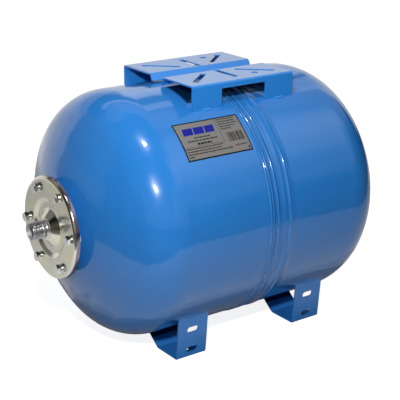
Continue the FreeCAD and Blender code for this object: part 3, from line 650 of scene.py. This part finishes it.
def make_floor():
    """Pale tabletop, which ends in a darker room for reflections; the camera sees it white, with a shadow."""
    mat, n, l, shader = new_material("studio_floor")
    place = n.new("ShaderNodeNewGeometry").outputs["Position"]
    off = None
    for (dx, dy), reach in TABLE_EDGES:
        dot = n.new("ShaderNodeVectorMath")
        dot.operation = "DOT_PRODUCT"
        dot.inputs[1].default_value = (dx, dy, 0)
        l.new(place, dot.inputs[0])
        past = math_node(n, l, "SUBTRACT", dot.outputs["Value"], reach)
        off = past if off is None else math_node(n, l, "MAXIMUM", off, past)
    dark = map_range(n, l, off, -TABLE_FADE, TABLE_FADE, 0.0, 1.0, True)
    path = n.new("ShaderNodeLightPath")
    camera, glossy = path.outputs["Is Camera Ray"], path.outputs["Is Glossy Ray"]
    dark = math_node(n, l, "MULTIPLY", dark, math_node(n, l, "SUBTRACT", 1.0, camera))
    grain = noise(n, l, place, scale=3.0)
    pale = mix_colour(n, l, grain, (FLOOR_ALBEDO,) * 3, (FLOOR_ALBEDO + FLOOR_MOTTLE,) * 3)
    along = n.new("ShaderNodeSeparateXYZ")
    l.new(place, along.inputs[0])
    shares = []
    for axis, middle, half in zip(("X", "Y"), SHADOW_MIDDLE, SHADOW_HALF):
        away = math_node(n, l, "ABSOLUTE", math_node(n, l, "SUBTRACT", along.outputs[axis], middle))
        shares.append(math_node(n, l, "POWER", math_node(n, l, "DIVIDE", away, half), SHADOW_POWER))
    under = map_range(n, l, math_node(n, l, "ADD", *shares), *SHADOW_EDGE, 1.0, 0.0, True)
    under = math_node(n, l, "MULTIPLY", under, glossy)
    pale = mix_colour(n, l, under, pale, (FLOOR_ALBEDO * SHADOW_LIGHT,) * 3)
    lit = mix_colour(n, l, dark, pale, (ROOM_FLOOR_ALBEDO,) * 3)
    dim = math_node(n, l, "MULTIPLY", path.outputs["Is Diffuse Ray"], 1.0 - FLOOR_FILL)
    l.new(mix_colour(n, l, dim, lit, (0.0, 0.0, 0.0)), shader.inputs["Base Color"])
    see_through = path.outputs["Is Transmission Ray"]
    white = math_node(n, l, "MULTIPLY", math_node(n, l, "MAXIMUM", camera, see_through), FLOOR_WHITE)
    far = n.new("ShaderNodeVectorMath")
    far.operation = "LENGTH"
    l.new(place, far.inputs[0])
    glow = map_range(n, l, far.outputs["Value"], *FAR_REACH, FLOOR_IN_GLOSS, FAR_IN_GLOSS, True)
    table = math_node(n, l, "MULTIPLY", math_node(n, l, "SUBTRACT", 1.0, dark), glow)
    added = math_node(n, l, "ADD", white, math_node(n, l, "MULTIPLY", glossy, table))
    l.new(added, shader.inputs["Emission Strength"])
    shader.inputs["Emission Color"].default_value = (1, 1, 1, 1)
    set_inputs(shader, Roughness=0.9, Specular_IOR_Level=0.0)
    half = FLOOR_SIZE / 2
    corners = [(-half, -half), (half, -half), (half, half), (-half, half)]
    mesh = bpy.data.meshes.new("floor")
    mesh.from_pydata([(x, y, -FLOOR_DEPTH) for x, y in corners], [], [(0, 1, 2, 3)])
    mesh.materials.append(mat)
    floor = bpy.data.objects.new("floor", mesh)
    bpy.context.scene.collection.objects.link(floor)


# Two small lamps, each a direction from the tank and a power
LAMP_AIM = (-0.10, -0.10, 0.28)
LAMP_DISTANCE = 1.2
LAMP_SIZE = 0.09
LAMPS = {
    "lamp_top": ((-0.26, -0.20, 0.94), 6.0),
    "lamp_camera": ((-0.52, -0.70, 0.49), 11.3),
}


def make_lights():
    """Round lamps that face the tank."""
    for name, (way, power) in LAMPS.items():
        data = bpy.data.lights.new(name, "AREA")
        data.shape = "DISK"
        data.size = LAMP_SIZE
        data.energy = power
        obj = bpy.data.objects.new(name, data)
        obj.location = Vector(LAMP_AIM) + LAMP_DISTANCE * Vector(way).normalized()
        obj.rotation_mode = "QUATERNION"
        obj.rotation_quaternion = (Vector(LAMP_AIM) - obj.location).to_track_quat("-Z", "Y")
        bpy.context.scene.collection.objects.link(obj)


# Soft sky of the studio; each patch is azimuth, half width, lower edge, upper edge and softness in degrees,
# and its strength
SKY_PATCHES = (
    (-120, 36, -20, 11, 8, 0.30),
    (-120, 36, 11, 20, 8, 0.24),
    (-164, 12, -20, 35, 8, 0.06),
    (-72, 12, -20, 10, 8, 0.30),
    (-62, 30, 10, 36, 8, 0.30),
    (-40, 30, 34, 54, 26, 1.20),
    (-22, 22, 50, 70, 8, 0.22),
    (45, 45, 50, 68, 8, 0.50),
    (112, 22, 50, 70, 8, 0.38),
    (10, 14, 20, 50, 8, 0.38),
    (68, 48, -20, 22, 5, 0.74),
    (88, 27, 22, 31, 5, 0.42),
    (50, 10, 22, 35, 4, 0.95),
    (27, 9, 22, 48, 4, 0.74),
    (70, 35, 43.5, 48.5, 2.5, 0.95),
    (44, 18, 12, 34, 6, 0.08),
    (140, 22, 10, 50, 8, 0.16),
    (140, 24, -20, 10, 5, 0.25),
)

# Share of the sky and of the floor's colour that is left for soft light on matt surfaces
SKY_FILL = 0.70
FLOOR_FILL = 0.50


def make_world():
    """A dim room with soft pale patches round the tank; the camera sees plain white."""
    world = bpy.data.worlds.new("studio")
    bpy.context.scene.world = world
    world.use_nodes = True
    n, l = world.node_tree.nodes, world.node_tree.links
    split = n.new("ShaderNodeSeparateXYZ")
    l.new(n.new("ShaderNodeTexCoord").outputs["Generated"], split.inputs[0])
    azimuth = math_node(n, l, "ARCTAN2", split.outputs["Y"], split.outputs["X"])
    height = math_node(n, l, "ARCSINE", split.outputs["Z"])
    total = None
    for middle, half, low, high, soft, strength in SKY_PATCHES:
        middle, half, low, high, soft = (math.radians(a) for a in (middle, half, low, high, soft))
        turned = n.new("ShaderNodeMath")
        turned.operation = "WRAP"
        turned.inputs[1].default_value = math.pi
        turned.inputs[2].default_value = -math.pi
        l.new(math_node(n, l, "SUBTRACT", azimuth, middle), turned.inputs[0])
        aside = math_node(n, l, "ABSOLUTE", turned.outputs[0])
        across = map_range(n, l, aside, half - soft / 2, half + soft / 2, strength, 0.0, True)
        over = map_range(n, l, height, low - soft / 2, low + soft / 2, 0.0, 1.0, True)
        under = map_range(n, l, height, high - soft / 2, high + soft / 2, 1.0, 0.0, True)
        patch = math_node(n, l, "MULTIPLY", across, math_node(n, l, "MULTIPLY", over, under))
        total = patch if total is None else math_node(n, l, "ADD", total, patch)
    path = n.new("ShaderNodeLightPath")
    seen = math_node(n, l, "MAXIMUM", path.outputs["Is Camera Ray"], path.outputs["Is Transmission Ray"])
    filled = map_range(n, l, path.outputs["Is Diffuse Ray"], 0.0, 1.0, 1.0, SKY_FILL)
    total = math_node(n, l, "MULTIPLY", total, filled)
    l.new(math_node(n, l, "MAXIMUM", total, seen), n["Background"].inputs["Strength"])
    n["Background"].inputs["Color"].default_value = (1, 1, 1, 1)


def make_camera():
    """Camera at the photo's view."""
    yaw, pitch, roll = (math.radians(a) for a in (CAMERA_YAW, CAMERA_PITCH, CAMERA_ROLL))
    look = Vector((math.cos(yaw) * math.cos(pitch), math.sin(yaw) * math.cos(pitch), -math.sin(pitch)))
    level = Vector((math.sin(yaw), -math.cos(yaw), 0))
    down = look.cross(level)
    right = math.cos(roll) * level + math.sin(roll) * down
    low = -math.sin(roll) * level + math.cos(roll) * down
    data = bpy.data.cameras.new("camera")
    data.sensor_width = SENSOR_WIDTH
    data.lens = CAMERA_FOCAL_PIXELS / FRAME_PIXELS * SENSOR_WIDTH
    data.clip_end = CAMERA_RANGE
    camera = bpy.data.objects.new("camera", data)
    turn = Matrix((right, -low, -look)).transposed()
    camera.matrix_world = Matrix.Translation(CAMERA_PLACE) @ turn.to_4x4()
    bpy.context.scene.collection.objects.link(camera)
    bpy.context.scene.camera = camera


make_floor()
make_lights()
make_world()
make_camera()
bpy.context.scene.view_settings.view_transform = "Standard"
